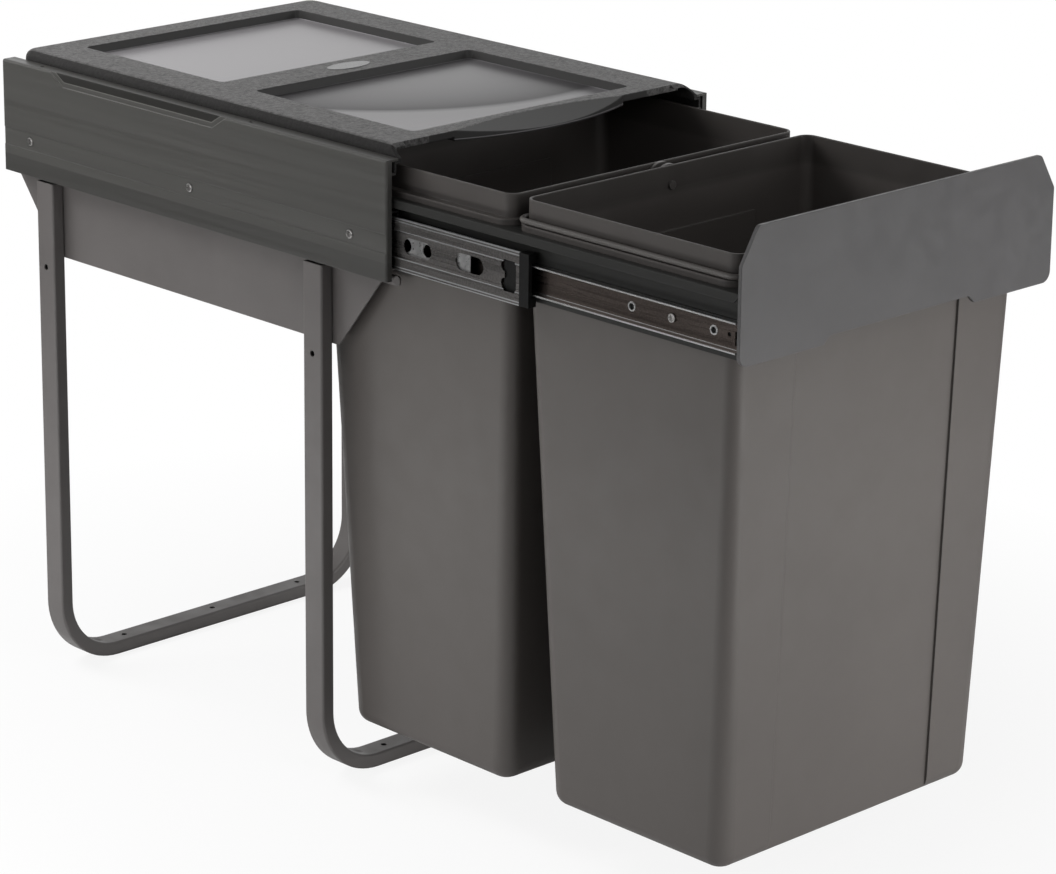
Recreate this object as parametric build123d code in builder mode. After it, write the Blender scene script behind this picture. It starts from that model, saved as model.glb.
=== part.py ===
"""Pull out bin frame for a 400 mm kitchen cabinet, in millimetres.

X runs across the cabinet, -Y is the way the drawer pulls out, and Z is up from the cabinet floor.
The origin is the middle screw hole of the rear base tube, on the floor. Lengths called "distance"
are measured forward from the rear end of the side covers. The drawer stands partly pulled out.
"""

from build123d import *
from math import cos, radians, sin
import os

# Overall
overall_width = 350.0
cover_length = 480.0
cover_top = 530.0
cover_height = 95.0
overrun = 5.0

# Tube frames
tube_depth = 22.0
tube_thickness = 12.0
tube_wall = 1.5
tube_corner = 2.0
tube_bend = 60.0
tube_end_gap = 3.5
rear_tube_distance = 53.0
front_tube_distance = 394.0
base_hole_pitch = 100.0
base_hole_radius = 2.5
leg_hole_height = 360.0
leg_hole_radius = 2.5
dent_radius = 14.0
dent_depth = 1.0
dent_angle = 72.0

# Side plates
plate_thickness = 1.5
plate_step_drop = 28.5
plate_depth = 68.0
plate_rise = 20.0
plate_rear = 5.0
plate_rear_foot = 53.0
plate_rear_elbow = 28.0
plate_elbow_drop = 29.0
plate_front_foot = 412.0
plate_front_shoulder = 461.0
plate_nose_height = 6.5
plate_nose_front = 482.0
plate_nose_radius = 3.0
plate_shelf_front = 477.0

# Side covers
cover_wall = 2.5
cover_lip = 12.5
cover_lip_thickness = 2.0
cover_shelf_drop = 11.0
cover_shelf_thickness = 2.0
cover_shelf_width = 9.0
cover_return = 5.8
cover_return_thickness = 2.0
cover_edge_radius = 2.0
cover_recess_depth = 1.0
cover_recess_height = 11.0
cover_recess_rear = 63.0
cover_recess_front = 292.0
cover_recess_slope = 18.0
cover_band_height = 15.0
cover_band_depth = 0.4
cover_boss_radius = 5.0
cover_notch_distances = (46.0, 315.0)
cover_notch_length = 4.0
cover_notch_width = 2.5
cover_notch_inset = 4.5
cover_screw_distances = (35.0, 245.0, 438.0)
cover_screw_hole = 1.9
cover_screw_radius = 1.75
cover_screw_head = 3.6
cover_screw_head_height = 1.2
cover_screw_edge = 0.9
cross_slot_length = 4.0
cross_slot_width = 0.8
cross_slot_depth = 0.8

# Ball slides
slide_drop = 65.0
slide_inset = 6.0
slide_length = 450.0
slide_rear = 25.0
outer_sheet = 1.2
outer_half_height = 22.9
outer_flange = 11.2
outer_hook = 4.0
outer_bend = 1.6
middle_length = 410.0
middle_front = 616.9
middle_back_gap = 0.4
middle_sheet = 1.2
middle_half_height = 20.4
middle_race_outside = 17.7
middle_flange = 11.5
middle_lip = 3.1
middle_web_half = 9.3
hem_groove = 0.5
inner_front_gap = 7.5
inner_sheet = 1.2
inner_half_height = 11.5
inner_reach = 5.4
slide_thickness = 12.7
inner_bend = 1.4
inner_end_height = 10.0
slot_length = 30.6
slot_width = 13.4
slot_offsets = (111.5, 54.5)
clip_window_length = 12.0
clip_window_height = 24.0
clip_window_inset = 4.5
clip_bite_radius = 4.0
clip_bite_rise = 6.5
cap_nose = 10.0
cap_tail = 18.0
cap_plate = 2.4
cap_gap = 0.2
cap_block_bottom = 13.2
cap_block_length = 9.0
cap_jaw = 4.4
inner_hole_offsets = (106.5, 26.0)
inner_screw_offsets = (66.5, 400.0)
inner_small_hole_offset = 11.2
inner_hole_radius = 2.5
inner_small_hole_radius = 1.7
ring_radius = 3.6
ring_height = 0.5
slide_screw_hole = 1.9
slide_screw_radius = 1.75
slide_screw_head = 3.4
slide_screw_head_height = 1.4
slide_screw_edge = 0.5

# Balls and their cages
cage_sheet = 0.8
outer_ball_gap = 4.0
inner_ball_gap = 5.0
ball_clearance = 0.03
ball_hole_clearance = 0.1
balls_per_row = 4
outer_cage_length = 190.0
outer_cage_front = 433.0
outer_cage_inside = 4.4
outer_cage_width = 5.4
inner_cage_length = 146.0
inner_cage_front = 562.0
inner_cage_inside = 4.3
inner_cage_width = 6.6
outer_ball_place = 7.1
inner_ball_place = 7.6
cage_end_margin = 12.0
cage_window_radius = 5.0
cage_window_offsets = (47.0, 70.0)

# Carrier
rail_rise = 34.0
rail_drop = 18.0
rail_sheet = 1.2
rail_bead_width = 10.2
rail_bead_height = 7.0
rail_bead_sheet = 1.5
rail_bead_radius = 1.2
rail_rear = 370.0
cross_sheet = 1.5
rear_rail_height = 30.0
rear_rail_ledge = 9.5
middle_rail_height = 24.0
middle_rail_width = 11.0
front_rail_height = 44.0
front_rail_ledge = 14.5
ear_side_clearance = 0.8
ear_clearance = 1.0
notch_depth = 6.5

# Front panel
panel_front = 840.0
panel_thickness = 3.0
panel_inset = 5.0
panel_rise = 82.0
panel_drop = 18.0
panel_chamfer_width = 16.6
panel_chamfer_height = 27.0
panel_corner = 5.0
panel_foot_corner = 8.5
panel_raised_half = 76.0
panel_raised_height = 6.0
panel_step_width = 6.5
panel_step_radius = 2.4
panel_edge = 0.5
panel_screw_places = (-120.0, 120.0)
panel_screw_rise = 5.0
panel_screw_radius = 1.9
panel_screw_head = 4.0
panel_screw_head_height = 1.6
panel_screw_length = 3.3
panel_boss_depth = 2.0

# Bins
bin_side_clearance = 1.1
bin_end_clearance = 0.5
bin_bottom = 47.0
bin_wall = 2.0
bin_base = 2.5
bin_skirt_height = 5.0
bin_collar_height = 18.0
bin_rim_thickness = 2.0
bin_side_taper = 12.4
bin_end_taper = 17.7
bin_foot_forward = 4.2
bin_collar_half_depth = 107.5
bin_flange_width = 6.5
bin_flange_depth = 5.0
bin_skirt = 1.8
bin_corner = 10.0
bin_foot_corner = 15.0
bin_foot_radius = 12.0
bin_recess_half = 89.0
bin_recess_drop = 34.0
bin_recess_depth = 2.0
bin_flange_edge = 0.5
bin_lip_edge = 0.6

# Bail handles
handle_rest_gap = 0.3
handle_rod_radius = 2.2
handle_side_inset = 2.7
handle_corner = 10.0
handle_eye_radius = 16.0
handle_eye_thickness = 3.0
handle_eye_gap = 0.4
handle_arm_start = 12.0
pin_radius = 2.1
pin_clearance = 0.1
pin_head_radius = 4.0
pin_head_height = 1.4
pin_inside_radius = 3.4
pin_inside_height = 1.6
handle_sides = {"front": -1, "rear": 1}

# Lid
lid_rear = 6.0
lid_setback = 14.0
lid_horn_width = 16.0
lid_rise = 8.0
lid_gap = 0.5
lid_wall = 2.5
lid_edge_radius = 7.5
lid_corner = 13.0
lid_flange_out = 4.5
lid_flange_gap = 0.4
lid_flange_thickness = 1.8
lid_rim_height = 5.5
lid_side_frame = 44.0
window_depth = 7.0
window_floor_thickness = 2.0
window_corner = 5.0
window_draft = 2.0
window_ranges = ((38.5, 218.5), (259.0, 447.5))
pull_half_width = 92.0
pull_reach = 18.0
pull_trough = 12.0
pull_lip_drop = 8.4
pull_lip_thickness = 2.0
pull_solid = 16.0
pull_trough_radius = 1650.0
badge_half_length = 22.0
badge_half_width = 10.0
badge_depth = 0.8
badge_thickness = 1.2
badge_edge = 0.4
badge_distance = 239.0

# Derived places
side_face = overall_width / 2
back_y = rear_tube_distance
plate_face = side_face - tube_thickness
cover_bottom = cover_top - cover_height
cover_shelf_top = cover_top - cover_shelf_drop
slide_height = cover_top - slide_drop
plate_step_bottom = slide_height - plate_step_drop
plate_bottom = plate_step_bottom - plate_depth
plate_top = slide_height + plate_rise
plate_nose_bottom = plate_step_bottom - plate_nose_height
plate_elbow_height = plate_nose_bottom - plate_elbow_drop
tube_top = plate_step_bottom - tube_end_gap
slide_back = side_face - slide_inset
upper_web_face = slide_back + plate_thickness
inner_face = slide_back - slide_thickness
panel_half_width = side_face - panel_inset
panel_top = slide_height + panel_rise
panel_bottom = slide_height - panel_drop
panel_screw_height = slide_height + panel_screw_rise
panel_back = panel_front - panel_thickness
inner_front = panel_back - inner_front_gap
rail_inside = inner_face - rail_sheet
rail_outside = rail_inside + rail_bead_width + rail_sheet
rail_top = slide_height + rail_rise
rail_bottom = slide_height - rail_drop
bin_rim = rail_top + bin_skirt_height
bin_recess_top = bin_rim - bin_recess_drop
bin_top = bin_rim + bin_collar_height
bin_collar_half_width = rail_inside - bin_side_clearance
bin_flange_half_width = bin_collar_half_width + bin_flange_width
bin_flange_half_depth = bin_collar_half_depth + bin_flange_depth
bin_foot_half_width = bin_collar_half_width - bin_side_taper
bin_foot_half_depth = bin_collar_half_depth - bin_end_taper
bin_reach = bin_collar_half_depth + bin_end_clearance
bin_centres = {
    "front": panel_back - front_rail_ledge - bin_reach,
    "rear": rail_rear + rear_rail_ledge + bin_reach,
}
bins_meet = (bin_centres["front"] + bin_centres["rear"]) / 2
handle_height = bin_rim + handle_rod_radius + handle_rest_gap
handle_half_width = bin_flange_half_width - handle_side_inset
handle_half_depth = bin_flange_half_depth - handle_rod_radius
ear_notch = handle_eye_radius + ear_side_clearance
lid_half_width = side_face - cover_lip - lid_gap
lid_horn_start = lid_half_width - lid_horn_width
lid_horn_front = cover_length
lid_front = cover_length - lid_setback
lid_top = cover_top + lid_rise
window_half_width = lid_half_width - lid_side_frame
window_floor = lid_top - window_depth
pull_front = lid_front + pull_reach
pull_rear = lid_front - pull_trough
pull_lip_bottom = lid_top - pull_lip_drop
outer_race = middle_race_outside + outer_ball_gap / 2
inner_race = inner_half_height + inner_ball_gap / 2
outer_ball_radius = outer_ball_gap / 2 - ball_clearance
inner_ball_radius = inner_ball_gap / 2 - ball_clearance
outer_ball_width = slide_back - outer_ball_place
inner_ball_width = slide_back - inner_ball_place
sides = (("left", -1), ("right", 1))

os.makedirs("parts", exist_ok=True)


def across(distance):
    """The upright plane across the drawer at a distance from the rear end, looking forward."""
    return Plane.XZ.offset(distance - back_y)


def save(piece, name):
    """Label a finished piece and write it."""
    piece.part.label = name
    export_step(piece.part, f"parts/{name}.step")


def tube_frame(distance):
    """A flat oval-cornered steel tube bent into a U: two legs and the base run on the floor."""
    leg_x = side_face - tube_thickness / 2
    base_z = tube_thickness / 2
    bend = tube_bend - tube_thickness / 2
    centre = across(distance)
    with BuildPart() as frame:
        with BuildLine(centre) as path:
            FilletPolyline(
                (-leg_x, tube_top),
                (-leg_x, base_z),
                (leg_x, base_z),
                (leg_x, tube_top),
                radius=bend,
            )
        with BuildSketch(Plane.XY.offset(tube_top)) as section:
            with Locations((-leg_x, back_y - distance)):
                RectangleRounded(tube_thickness, tube_depth, tube_corner)
                Rectangle(
                    tube_thickness - 2 * tube_wall,
                    tube_depth - 2 * tube_wall,
                    mode=Mode.SUBTRACT,
                )
        sweep(sections=section.sketch, path=path.wires()[0])
        with Locations(Plane.XY.offset(tube_thickness / 2)):
            with Locations(
                (-base_hole_pitch, back_y - distance),
                (0, back_y - distance),
                (base_hole_pitch, back_y - distance),
            ):
                Cylinder(base_hole_radius, tube_thickness + overrun, mode=Mode.SUBTRACT)
        with Locations(Plane.YZ):
            with Locations((back_y - distance, leg_hole_height)):
                Cylinder(leg_hole_radius, overall_width + overrun, mode=Mode.SUBTRACT)
        reach = tube_bend - tube_thickness + dent_depth - dent_radius
        for side in (-1, 1):
            dent = (
                side * (side_face - tube_bend + reach * cos(radians(dent_angle))),
                back_y - distance,
                tube_bend - reach * sin(radians(dent_angle)),
            )
            with Locations(dent):
                Sphere(dent_radius, mode=Mode.SUBTRACT)
    return frame


def flank(points, inside, outside, side, mode=Mode.ADD):
    """An upright sheet with (distance, height) corners between two distances from the middle."""
    with BuildSketch(Plane.YZ.offset(side * inside)) as face:
        with BuildLine():
            Polyline(*[(back_y - distance, height) for distance, height in points], close=True)
        make_face()
    extrude(face.sketch, amount=side * (outside - inside), mode=mode, dir=(1, 0, 0))


def bar(points, start, end, side, mode=Mode.ADD):
    """A straight bar with (half width, height) corners between two distances, on one side."""
    with BuildSketch(across(start)) as face:
        with BuildLine():
            Polyline(*[(side * width, height) for width, height in points], close=True)
        make_face()
    extrude(face.sketch, amount=end - start, mode=mode, dir=(0, -1, 0))


def block(inside, outside, low, high, start, end, side, mode=Mode.ADD):
    """A box between two half widths, two heights and two distances, on one side."""
    points = [(inside, low), (outside, low), (outside, high), (inside, high)]
    bar(points, start, end, side, mode)


def cross_hole(radius, distance, height, inside, outside, side, mode=Mode.SUBTRACT):
    """A round hole or stud along X between two distances from the middle."""
    with BuildSketch(Plane.YZ.offset(side * inside)) as face:
        with Locations((back_y - distance, height)):
            Circle(radius)
    extrude(face.sketch, amount=side * (outside - inside), mode=mode, dir=(1, 0, 0))


def two_halves(points):
    """The upper half of a slide outline, completed below its centre line."""
    outline = points + [(depth, -rise) for depth, rise in reversed(points)]
    return [(slide_back - depth, slide_height + rise) for depth, rise in outline]


def side_plate(side):
    """The steel plate welded to the legs, stepped out to carry the fixed member of the slide."""
    web_inside = plate_face - plate_thickness
    step_top = plate_step_bottom + plate_thickness
    with BuildPart() as plate:
        web = [
            (plate_rear, step_top),
            (plate_rear, plate_nose_bottom),
            (plate_rear_elbow, plate_elbow_height),
            (plate_rear_foot, plate_bottom),
            (plate_front_foot, plate_bottom),
            (plate_front_shoulder, plate_nose_bottom),
            (plate_nose_front, plate_nose_bottom),
            (plate_nose_front, step_top),
        ]
        flank(web, web_inside, plate_face, side)
        nose = plate.edges().filter_by(Axis.X).group_by(Axis.Y)[0]
        fillet(nose, plate_nose_radius)
        block(web_inside, upper_web_face, plate_step_bottom, step_top, plate_rear,
              plate_shelf_front, side)
        block(slide_back, upper_web_face, plate_step_bottom, plate_top, plate_rear,
              plate_shelf_front, side)
        for distance in cover_screw_distances:
            cross_hole(cover_screw_hole, distance, slide_height, slide_back, upper_web_face, side)
    return plate


def side_cover(side):
    """The moulded cover of one side, with the lip and the shelf that hold the lid."""
    wall_inside = side_face - cover_wall
    lip_inside = side_face - cover_lip
    shelf_inside = wall_inside - cover_shelf_width
    band_low = slide_height - cover_band_height / 2
    band_high = slide_height + cover_band_height / 2
    with BuildPart() as cover:
        block(wall_inside, side_face, cover_bottom, cover_top, 0, cover_length, side)
        block(lip_inside, wall_inside, cover_top - cover_lip_thickness, cover_top, 0,
              cover_length, side)
        block(side_face - cover_return, wall_inside, cover_bottom, cover_top,
              cover_length - cover_return_thickness, cover_length, side)
        outside = cover.faces().sort_by(Axis.X)[0 if side < 0 else -1]
        rounded = outside.edges().filter_by(Axis.Y).sort_by(Axis.Z)[-1:]
        rounded += outside.edges().filter_by(Axis.Z).sort_by(Axis.Y)[:1]
        fillet(rounded, cover_edge_radius)
        block(shelf_inside, wall_inside, cover_shelf_top - cover_shelf_thickness,
              cover_shelf_top, 0, cover_length - cover_return_thickness, side)
        recess = [
            (cover_recess_rear, cover_top),
            (cover_recess_rear + cover_recess_slope, cover_top - cover_recess_height),
            (cover_recess_front - cover_recess_slope, cover_top - cover_recess_height),
            (cover_recess_front, cover_top),
        ]
        flank(recess, side_face - cover_recess_depth, side_face, side, Mode.SUBTRACT)
        block(side_face - cover_band_depth, side_face, band_low, band_high, 0, cover_length,
              side, Mode.SUBTRACT)
        for distance in cover_notch_distances:
            notch = lip_inside + cover_notch_inset
            block(notch, notch + cover_notch_width, cover_top - cover_lip_thickness, cover_top,
                  distance - cover_notch_length / 2, distance + cover_notch_length / 2, side,
                  Mode.SUBTRACT)
        for distance in cover_screw_distances:
            cross_hole(cover_boss_radius, distance, slide_height, upper_web_face, wall_inside,
                       side, Mode.ADD)
            cross_hole(cover_screw_hole, distance, slide_height, upper_web_face, side_face, side)
    return cover


def cover_screws():
    """Six round-headed cross-slot screws through the covers, the plates and the slides."""
    seat = side_face - cover_band_depth
    top = seat + cover_screw_head_height
    with BuildPart() as screws:
        for name, side in sides:
            for distance in cover_screw_distances:
                cross_hole(cover_screw_head, distance, slide_height, seat, top, side, Mode.ADD)
        heads = screws.faces().group_by(Axis.X)
        fillet(heads[0].edges() + heads[-1].edges(), cover_screw_edge)
        for name, side in sides:
            for distance in cover_screw_distances:
                cross_hole(cover_screw_radius, distance, slide_height, slide_back - outer_sheet,
                           seat, side, Mode.ADD)
                for high, long in ((cross_slot_width, cross_slot_length),
                                   (cross_slot_length, cross_slot_width)):
                    block(top - cross_slot_depth, top, slide_height - high / 2,
                          slide_height + high / 2, distance - long / 2, distance + long / 2,
                          side, Mode.SUBTRACT)
    return screws


def slide_outer(side):
    """The fixed member: a C of steel sheet whose hooked flanges are the outer ball races."""
    upper = [
        (0, outer_half_height),
        (outer_flange, outer_half_height),
        (outer_flange, outer_half_height - outer_hook),
        (outer_flange - outer_sheet, outer_half_height - outer_hook),
        (outer_flange - outer_sheet, outer_half_height - outer_sheet),
        (outer_sheet, outer_half_height - outer_sheet),
    ]
    with BuildPart() as member:
        bar(two_halves(upper), slide_rear, slide_rear + slide_length, side)
        back = member.faces().sort_by(Axis.X)[0 if side < 0 else -1]
        fillet(back.edges().filter_by(Axis.Y), outer_bend)
        for distance in cover_screw_distances:
            cross_hole(cover_screw_radius, distance, slide_height, slide_back - outer_sheet,
                       slide_back, side)
    return member


def slide_middle(side):
    """The travelling member: hemmed edges, a joggled web with two slots and a cap window."""
    back = outer_sheet + middle_back_gap
    fold = back + middle_sheet
    web = fold + middle_sheet
    race_inside = middle_race_outside - middle_sheet
    lip_bottom = middle_race_outside - middle_lip
    upper = [
        (fold, middle_web_half),
        (back, middle_web_half + middle_sheet),
        (back, middle_half_height),
        (fold - hem_groove / 2, middle_half_height),
        (fold, middle_half_height - hem_groove),
        (fold + hem_groove / 2, middle_half_height),
        (web, middle_half_height),
        (web, middle_race_outside),
        (middle_flange, middle_race_outside),
        (middle_flange, lip_bottom),
        (middle_flange - middle_sheet, lip_bottom),
        (middle_flange - middle_sheet, race_inside),
        (fold, race_inside),
        (fold, middle_web_half + middle_sheet),
        (web, middle_web_half),
    ]
    window_front = middle_front - clip_window_inset
    with BuildPart() as member:
        bar(two_halves(upper), middle_front - middle_length, middle_front, side)
        for offset in slot_offsets:
            with BuildSketch(Plane.YZ.offset(side * (slide_back - web))):
                with Locations((back_y - middle_front + offset, slide_height)):
                    SlotOverall(slot_length, slot_width)
            extrude(amount=side * middle_sheet, mode=Mode.SUBTRACT)
        block(slide_back - web, slide_back - back, slide_height - clip_window_height / 2,
              slide_height + clip_window_height / 2, window_front - clip_window_length,
              window_front, side, Mode.SUBTRACT)
        for rise in (-clip_bite_rise, clip_bite_rise):
            cross_hole(clip_bite_radius, window_front - clip_window_length, slide_height + rise,
                       slide_back - web, slide_back - back, side)
    return member


def end_cap(side):
    """The moulded cap in the front end of the travelling member, showing in its window."""
    fold = outer_sheet + middle_back_gap + middle_sheet
    web = fold + middle_sheet
    plate_inside = slide_back - fold - cap_plate
    nose_front = middle_front + cap_nose
    race_inside = middle_race_outside - middle_sheet
    with BuildPart() as cap:
        block(plate_inside, slide_back - web, slide_height - cap_block_bottom,
              slide_height + cap_block_bottom, middle_front - cap_tail, nose_front, side)
        block(slide_back - web, slide_back - outer_sheet - middle_back_gap,
              slide_height - middle_half_height, slide_height + middle_half_height,
              middle_front, nose_front, side)
        for rise in (-1, 1):
            low, high = sorted((cap_block_bottom * rise, middle_half_height * rise))
            block(plate_inside - cap_jaw, slide_back - web, slide_height + low,
                  slide_height + high, middle_front, nose_front, side)
            low, high = sorted((cap_block_bottom * rise, (race_inside - cap_gap) * rise))
            block(plate_inside - cap_jaw, slide_back - web, slide_height + low,
                  slide_height + high, middle_front - cap_block_length, middle_front, side)
    return cap


def slide_inner(side):
    """The drawer member: a C of steel sheet open towards the fixed side, with a folded end."""
    web = slide_thickness - inner_sheet
    upper = [
        (slide_thickness, inner_half_height),
        (inner_reach, inner_half_height),
        (inner_reach, inner_half_height - inner_sheet),
        (web, inner_half_height - inner_sheet),
    ]
    web_face = slide_back - web
    with BuildPart() as member:
        bar(two_halves(upper), inner_front - slide_length, inner_front, side)
        back = member.faces().sort_by(Axis.X)[-1 if side < 0 else 0]
        fillet(back.edges().filter_by(Axis.Y), inner_bend)
        block(web_face, slide_back - inner_reach, slide_height - inner_end_height / 2,
              slide_height + inner_end_height / 2, inner_front - inner_sheet, inner_front, side)
        for offset in inner_hole_offsets:
            cross_hole(ring_radius, inner_front - offset, slide_height, web_face,
                       web_face + ring_height, side, Mode.ADD)
            cross_hole(inner_hole_radius, inner_front - offset, slide_height, inner_face,
                       web_face + ring_height, side)
        cross_hole(inner_small_hole_radius, inner_front - inner_small_hole_offset, slide_height,
                   inner_face, web_face, side)
        for offset in inner_screw_offsets:
            cross_hole(slide_screw_hole, inner_front - offset, slide_height, inner_face,
                       web_face, side)
    return member


def slide_screws():
    """Four screws holding the drawer members to the carrier rails, heads in the channels."""
    seat = inner_face + inner_sheet
    top = seat + slide_screw_head_height
    with BuildPart() as screws:
        for name, side in sides:
            for offset in inner_screw_offsets:
                cross_hole(slide_screw_head, inner_front - offset, slide_height, seat, top, side,
                           Mode.ADD)
        fillet(screws.edges().filter_by(GeomType.CIRCLE), slide_screw_edge)
        for name, side in sides:
            for offset in inner_screw_offsets:
                cross_hole(slide_screw_radius, inner_front - offset, slide_height,
                           inner_face - rail_sheet, seat, side, Mode.ADD)
                for high, long in ((cross_slot_width, cross_slot_length),
                                   (cross_slot_length, cross_slot_width)):
                    distance = inner_front - offset
                    block(top - cross_slot_depth, top, slide_height - high / 2,
                          slide_height + high / 2, distance - long / 2, distance + long / 2,
                          side, Mode.SUBTRACT)
    return screws


def ball_places(front, length):
    """The distances of the balls of one row, spread evenly along their cage."""
    run = length - 2 * cage_end_margin
    rear = front - length + cage_end_margin
    return [rear + run * index / (balls_per_row - 1) for index in range(balls_per_row)]


def ball_rows(width, rise, radius, distances, side):
    """Two rows of loose balls above and below the centre line of the slide."""
    with BuildPart() as balls:
        for distance in distances:
            with Locations(
                (side * width, back_y - distance, slide_height + rise),
                (side * width, back_y - distance, slide_height - rise),
            ):
                Sphere(radius)
    return balls


def outer_cage(side):
    """The two ball strips between the fixed and the travelling member."""
    outside = slide_back - outer_cage_inside
    with BuildPart() as cage:
        for rise in (-outer_race, outer_race):
            block(outside - outer_cage_width, outside, slide_height + rise - cage_sheet / 2,
                  slide_height + rise + cage_sheet / 2, outer_cage_front - outer_cage_length,
                  outer_cage_front, side)
        for distance in ball_places(outer_cage_front, outer_cage_length):
            with Locations((side * outer_ball_width, back_y - distance, slide_height)):
                Cylinder(outer_ball_radius + ball_hole_clearance, overall_width,
                         mode=Mode.SUBTRACT)
    return cage


def inner_cage(side):
    """The U-shaped ball cage between the travelling and the drawer member."""
    outside = slide_back - inner_cage_inside
    rear = inner_cage_front - inner_cage_length
    half = inner_race + cage_sheet / 2
    with BuildPart() as cage:
        block(outside - cage_sheet, outside, slide_height - half, slide_height + half, rear,
              inner_cage_front, side)
        for rise in (-inner_race, inner_race):
            block(outside - inner_cage_width, outside, slide_height + rise - cage_sheet / 2,
                  slide_height + rise + cage_sheet / 2, rear, inner_cage_front, side)
        for distance in ball_places(inner_cage_front, inner_cage_length):
            with Locations((side * inner_ball_width, back_y - distance, slide_height)):
                Cylinder(inner_ball_radius + ball_hole_clearance, overall_width,
                         mode=Mode.SUBTRACT)
        for offset in cage_window_offsets:
            cross_hole(cage_window_radius, inner_cage_front - offset, slide_height,
                       outside - cage_sheet, outside, side)
    return cage


def carrier_side(side):
    """The side rail of the drawer, its top turned out and down into a stiff bead."""
    bead_face = rail_outside - rail_bead_sheet
    outline = [
        (rail_inside, rail_bottom),
        (inner_face, rail_bottom),
        (inner_face, rail_top - rail_sheet),
        (bead_face, rail_top - rail_sheet),
        (bead_face, rail_top - rail_bead_height),
        (rail_outside, rail_top - rail_bead_height),
        (rail_outside, rail_top),
        (rail_inside, rail_top),
    ]
    with BuildPart() as rail:
        bar(outline, rail_rear, panel_back, side)
        outside = rail.faces().sort_by(Axis.X)[0 if side < 0 else -1]
        fillet(outside.edges().filter_by(Axis.Y).sort_by(Axis.Z)[-1:], rail_bead_radius)
        bead_end = [
            (panel_back, rail_top - rail_bead_height),
            (panel_back, rail_top),
            (panel_back - rail_bead_height, rail_top - rail_bead_height),
        ]
        flank(bead_end, bead_face, rail_outside, side, Mode.SUBTRACT)
        for offset in inner_screw_offsets:
            cross_hole(slide_screw_radius, inner_front - offset, slide_height, rail_inside,
                       inner_face, side)
    return rail


def cross_rail(web, ledge, height, screw_places):
    """An angle between the side rails: an upright web and a ledge for the bins, notched."""
    with BuildPart() as rail:
        low, high = sorted((web, web + (cross_sheet if ledge > web else -cross_sheet)))
        block(-rail_inside, rail_inside, rail_top - height, rail_top, low, high, 1)
        low, high = sorted((web, ledge))
        block(-rail_inside, rail_inside, rail_top - cross_sheet, rail_top, low, high, 1)
        low, high = sorted((ledge, ledge + (notch_depth if ledge < web else -notch_depth)))
        block(-ear_notch, ear_notch, rail_top - cross_sheet, rail_top, low, high, 1,
              Mode.SUBTRACT)
        for place in screw_places:
            with BuildSketch(across(web - cross_sheet)):
                with Locations((place, panel_screw_height)):
                    Circle(panel_screw_radius)
            extrude(amount=cross_sheet, mode=Mode.SUBTRACT)
    return rail


def carrier_middle():
    """The channel between the two bins, cut down in the middle for the handle ears."""
    half = middle_rail_width / 2
    with BuildPart() as rail:
        block(-rail_inside, rail_inside, rail_top - middle_rail_height, rail_top,
              bins_meet - half, bins_meet + half, 1)
        block(-rail_inside, rail_inside, rail_top - middle_rail_height, rail_top - cross_sheet,
              bins_meet - half + cross_sheet, bins_meet + half - cross_sheet, 1,
              Mode.SUBTRACT)
        block(-ear_notch, ear_notch, handle_height - handle_eye_radius - ear_clearance,
              rail_top, bins_meet - half, bins_meet + half, 1, Mode.SUBTRACT)
    return rail


def front_panel():
    """The steel panel that carries the cabinet door, its foot raised in the middle."""
    slope = panel_half_width - panel_chamfer_width
    raised = panel_bottom + panel_raised_height
    shoulder = panel_raised_half + panel_step_width
    right = [
        (panel_raised_half, raised),
        (shoulder, panel_bottom),
        (panel_half_width, panel_bottom),
        (panel_half_width, panel_top - panel_chamfer_height),
        (slope, panel_top),
    ]
    outline = right + [(-width, height) for width, height in reversed(right)]
    with BuildPart() as panel:
        with BuildSketch(across(panel_back)) as face:
            with BuildLine():
                Polyline(*outline, close=True)
            make_face()
            rows = face.vertices().group_by(Axis.Y)
            feet = rows[0].sort_by(Axis.X)
            fillet([feet[0], feet[-1]], panel_foot_corner)
            rows = face.vertices().group_by(Axis.Y)
            fillet(rows[-1] + rows[-2], panel_corner)
            steps = face.vertices().filter_by(lambda v: abs(v.X) < shoulder + panel_corner / 2)
            fillet(steps, panel_step_radius)
        extrude(amount=panel_thickness)
        fillet(panel.faces().sort_by(Axis.Y)[0].edges(), panel_edge)
        for place in panel_screw_places:
            with BuildSketch(across(panel_back)):
                with Locations((place, panel_screw_height)):
                    Circle(panel_screw_radius)
            extrude(amount=panel_boss_depth, mode=Mode.SUBTRACT)
    return panel


def panel_screws():
    """Screws through the front rail into the back of the panel."""
    seat = panel_back - cross_sheet
    with BuildPart() as screws:
        for place in panel_screw_places:
            with BuildSketch(across(seat - panel_screw_head_height)):
                with Locations((place, panel_screw_height)):
                    Circle(panel_screw_head)
            extrude(amount=panel_screw_head_height)
            with BuildSketch(across(seat)):
                with Locations((place, panel_screw_height)):
                    Circle(panel_screw_radius)
            extrude(amount=panel_screw_length)
    return screws


def bin_size(height, foot, rim):
    """A size of a bin body at a height, going evenly from its foot to its rim."""
    share = (height - bin_bottom) / (bin_rim - bin_bottom)
    return foot + share * (rim - foot)


def bin_half_width(height):
    """Half the outside width of a bin body, which tapers towards its floor."""
    return bin_size(height, bin_foot_half_width, bin_collar_half_width)


def bin_half_depth(height):
    """Half the outside depth of a bin body, which tapers towards its floor."""
    return bin_size(height, bin_foot_half_depth, bin_collar_half_depth)


def bin_middle(centre, height):
    """The Y of the middle of a bin body, whose foot stands forward of its mouth."""
    return back_y - centre - bin_size(height, bin_foot_forward, 0)


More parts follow.
